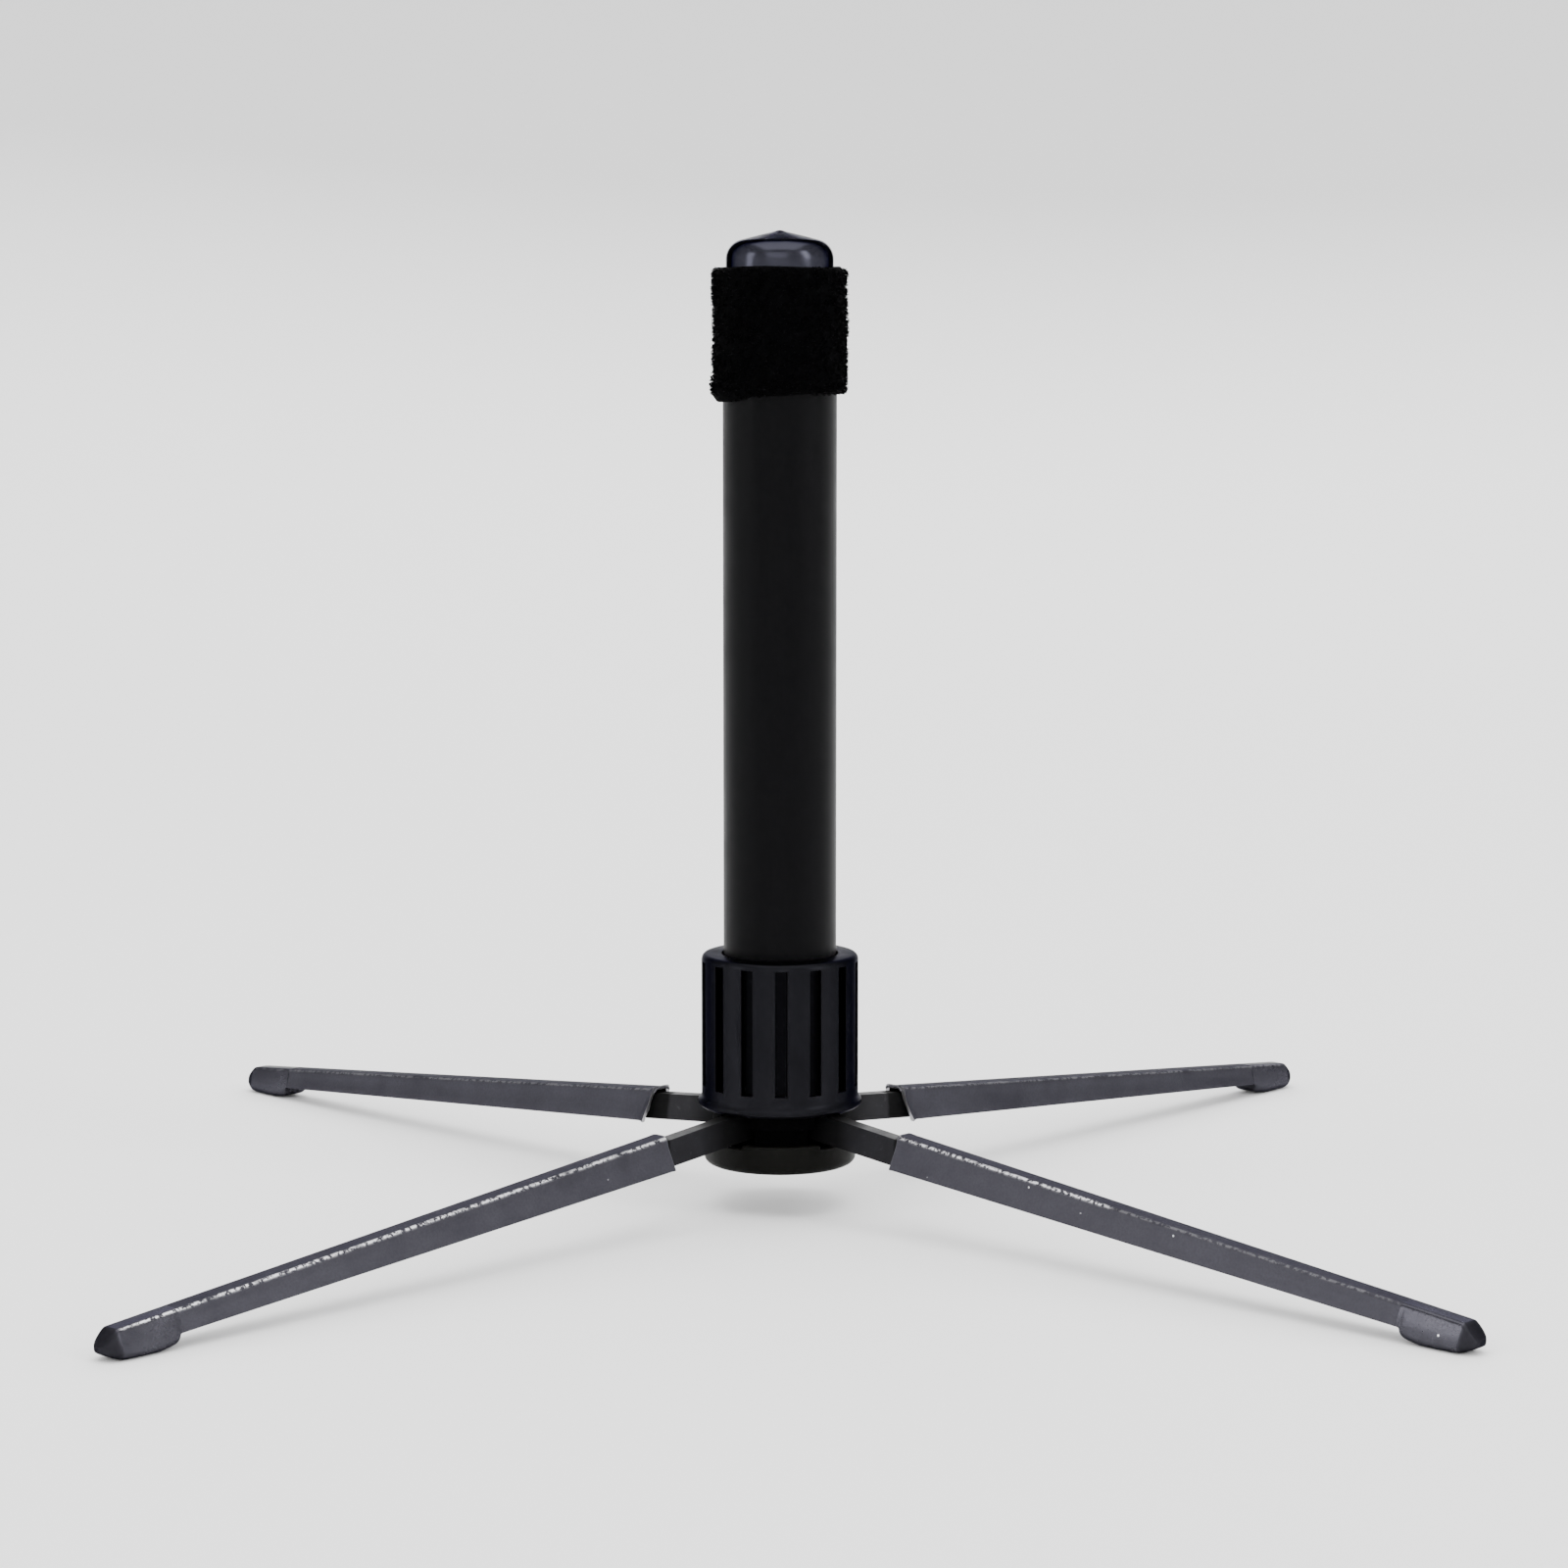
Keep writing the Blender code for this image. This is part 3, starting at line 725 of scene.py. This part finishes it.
def band_radius(angle, height, low, high, outer):
    """The uneven outside of the wrapped strip: soft lumps, a loose lower edge and rounded rims."""
    loosest, loose_reach = 0.55 * MM, 3.5 * MM
    rim_depth, rim_reach = 0.8 * MM, 1.3 * MM
    lump_rate, lump_height, finer = 2.6, 3.2 * MM, 4.1
    around = Vector((math.cos(angle) * lump_rate, math.sin(angle) * lump_rate, height / lump_height))
    lump = noise.noise(around) * 0.16 * MM + noise.noise(around * finer) * 0.14 * MM
    edge = min(height - low, high - height)
    loose = sag_at(angle) * max(0.0, 1 - (height - low) / loose_reach)
    rim = max(0.0, 1 - edge / rim_reach) ** 2
    return outer - PILE_DEPTH + lump + loosest * loose - rim_depth * rim


def make_band(material):
    """A strip of pile cloth round the tube: the strip itself, and the loops that stand on it."""
    low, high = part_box("pile_band")
    outer = high.x
    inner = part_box("post_tube")[1].x + 0.12 * MM
    sag, lower_wave, upper_wave = 1.1 * MM, 0.12 * MM, 0.1 * MM
    lower, upper = low.z + 0.45 * MM, high.z - 0.15 * MM
    around, rows = 160, 36
    bm = bmesh.new()
    outside, inside = [], []
    for row in range(rows + 1):
        ring_out, ring_in = [], []
        for i in range(around):
            angle = 2 * math.pi * i / around
            bottom = lower - sag * sag_at(angle) + lower_wave * math.sin(5 * angle)
            top = upper + upper_wave * math.sin(3 * angle + 1)
            height = bottom + (top - bottom) * row / rows
            radius = band_radius(angle, height, bottom, top, outer)
            ring_out.append(bm.verts.new(round_point(radius, angle, height)))
            ring_in.append(bm.verts.new(round_point(inner, angle, height)))
        outside.append(ring_out)
        inside.append(ring_in)
    for i in range(around):
        j = (i + 1) % around
        for row in range(rows):
            up = row + 1
            bm.faces.new((outside[row][i], outside[row][j], outside[up][j], outside[up][i]))
            bm.faces.new((inside[row][j], inside[row][i], inside[up][i], inside[up][j]))
        bm.faces.new((outside[0][j], outside[0][i], inside[0][i], inside[0][j]))
        bm.faces.new((outside[rows][i], outside[rows][j], inside[rows][j], inside[rows][i]))
    mesh = mesh_from(bm, "pile_band_cloth")
    mesh.shade_smooth()
    cloth = new_object("pile_band_cloth", mesh, material)
    place(cloth, "post", ["pile_band"])
    loops = make_loops(material, low.z, high.z, outer)
    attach(loops, "post")


def make_loops(material, low, high, outer):
    """Small thread loops rooted in the cloth and leaning every way, which make the fuzzy outline."""
    rng = random.Random(11)
    count, sides, bends = 5200, 3, 6
    thread, rooted, leaning = 0.055 * MM, 0.1 * MM, 0.45
    bm = bmesh.new()
    for _ in range(count):
        angle = rng.uniform(0, 2 * math.pi)
        height = rng.uniform(low + 0.35 * MM - 1.0 * MM * sag_at(angle), high - 0.3 * MM)
        surface = band_radius(angle, height, low, high, outer)
        out = Vector((math.cos(angle), math.sin(angle), 0))
        lean = Vector((rng.uniform(-1, 1), rng.uniform(-1, 1), rng.uniform(-1, 1))) * leaning
        direction = (out + lean).normalized()
        across = direction.cross(Vector((rng.uniform(-1, 1), rng.uniform(-1, 1), 1.0))).normalized()
        normal = direction.cross(across)
        reach = rng.uniform(0.35, 0.62) * MM
        width = rng.uniform(0.12, 0.26) * MM
        base = out * (surface - rooted) + Vector((0, 0, height))
        rings = []
        for b in range(bends + 1):
            swing = math.pi * b / bends
            aside, ahead = math.cos(swing), math.sin(swing)
            centre = base + across * width * aside + direction * reach * ahead
            outward = (across * aside * reach + direction * ahead * width).normalized()
            ring = []
            for s in range(sides):
                turn = 2 * math.pi * s / sides
                ring.append(bm.verts.new(
                    centre + (outward * math.cos(turn) + normal * math.sin(turn)) * thread))
            rings.append(ring)
        for first, second in zip(rings, rings[1:]):
            for s in range(sides):
                t = (s + 1) % sides
                bm.faces.new((first[s], first[t], second[t], second[s]))
        bm.faces.new(rings[0][::-1])
        bm.faces.new(rings[-1])
    bmesh.ops.recalc_face_normals(bm, faces=bm.faces)
    mesh = mesh_from(bm, "pile_band_loops")
    mesh.shade_smooth()
    return new_object("pile_band_loops", mesh, material)


# ---------------------------------------------------------------- stage and camera

def make_stage(material):
    """A white floor that curves up all round into a wall, so that it has no horizon."""
    floor_radius, bend, wall, middle = 0.9, 2.4, 3.2, 0.4
    under_feet = 0.05 * MM
    profile = [(floor_radius + bend, wall)]
    profile += arc((floor_radius, bend), bend, 0, -90, 32) + [(middle, 0), (0, 0)]
    stage = turned("studio_floor", profile, material, closed=False)
    stage.location.z = -under_feet


def area_light(name, position, size, power):
    """A soft light aimed at the middle of the stand."""
    centre = Vector((0, 0, 0.06))
    data = bpy.data.lights.new(name, "AREA")
    data.shape = "RECTANGLE"
    data.size, data.size_y = size
    data.energy = power
    light = bpy.data.objects.new(name, data)
    bpy.context.scene.collection.objects.link(light)
    light.location = position
    light.rotation_euler = (centre - Vector(position)).to_track_quat("-Z", "Y").to_euler()


def make_lights():
    area_light("softbox_above", (0, -0.1, 1.5), (1.6, 1.6), 20)
    area_light("softbox_front", (-0.2, -1.5, 0.75), (1.3, 0.9), 7)
    area_light("softbox_right", (1.2, -0.7, 0.7), (0.4, 1.0), 9)
    area_light("softbox_left", (-1.3, -0.5, 0.5), (0.4, 0.8), 5)
    area_light("softbox_back", (0.2, 1.4, 0.9), (1.6, 0.8), 14)
    world = bpy.data.worlds.new("studio")
    bpy.context.scene.world = world
    world.use_nodes = True
    background = world.node_tree.nodes["Background"]
    background.inputs["Color"].default_value = (1, 1, 1, 1)
    background.inputs["Strength"].default_value = 1.3


def make_camera():
    """Looks at the stand from just under the height of its cap, tilted a little down."""
    distance, height, aside = 0.580, 0.1335, 0.0006
    pitch_degrees, turn_degrees = 7.0, 1.1
    camera = bpy.data.cameras.new("camera")
    camera.lens = 92.0
    camera.sensor_width = 36
    camera.clip_start = 0.01
    obj = bpy.data.objects.new("camera", camera)
    bpy.context.scene.collection.objects.link(obj)
    about = Matrix.Rotation(math.radians(-turn_degrees), 4, "Z")
    tilt = Matrix.Rotation(math.radians(90 - pitch_degrees), 4, "X")
    obj.matrix_world = about @ Matrix.Translation((aside, -distance, height)) @ tilt
    bpy.context.scene.camera = obj


make_camera()
make_tube(drawn_tube())
make_cap(glossy_cap())
make_collar_and_hub(
    fluted_black(),
    # The crown's near-black colour and faint specular are painted shade for the hollow round the hub.
    moulded("crown_black_painted_shade", dark=(0.0008, 0.0008, 0.0009), light=(0.0014, 0.0014, 0.0016),
            roughness=0.6, grain=0.01 * MM, specular=0.004),
    moulded("cup_olive_black", dark=(0.0010, 0.0010, 0.0007), light=(0.0021, 0.0021, 0.0015),
            roughness=0.45, grain=0.012 * MM, specular=0.06),
    plain_steel(),
)
make_legs(
    gunmetal("channel_gunmetal", smooth_roughness=0.4, rough_roughness=0.54, lumps=0.06 * MM),
    painted_root("front_root_dark_paint", mouth=24.3 * MM),
    painted_root("back_root_dark_paint", mouth=22.4 * MM),
    gunmetal("foot_gunmetal", smooth_roughness=0.2, rough_roughness=0.3, lumps=0.1 * MM),
)
make_band(black_pile())
make_stage(studio_white())
make_lights()
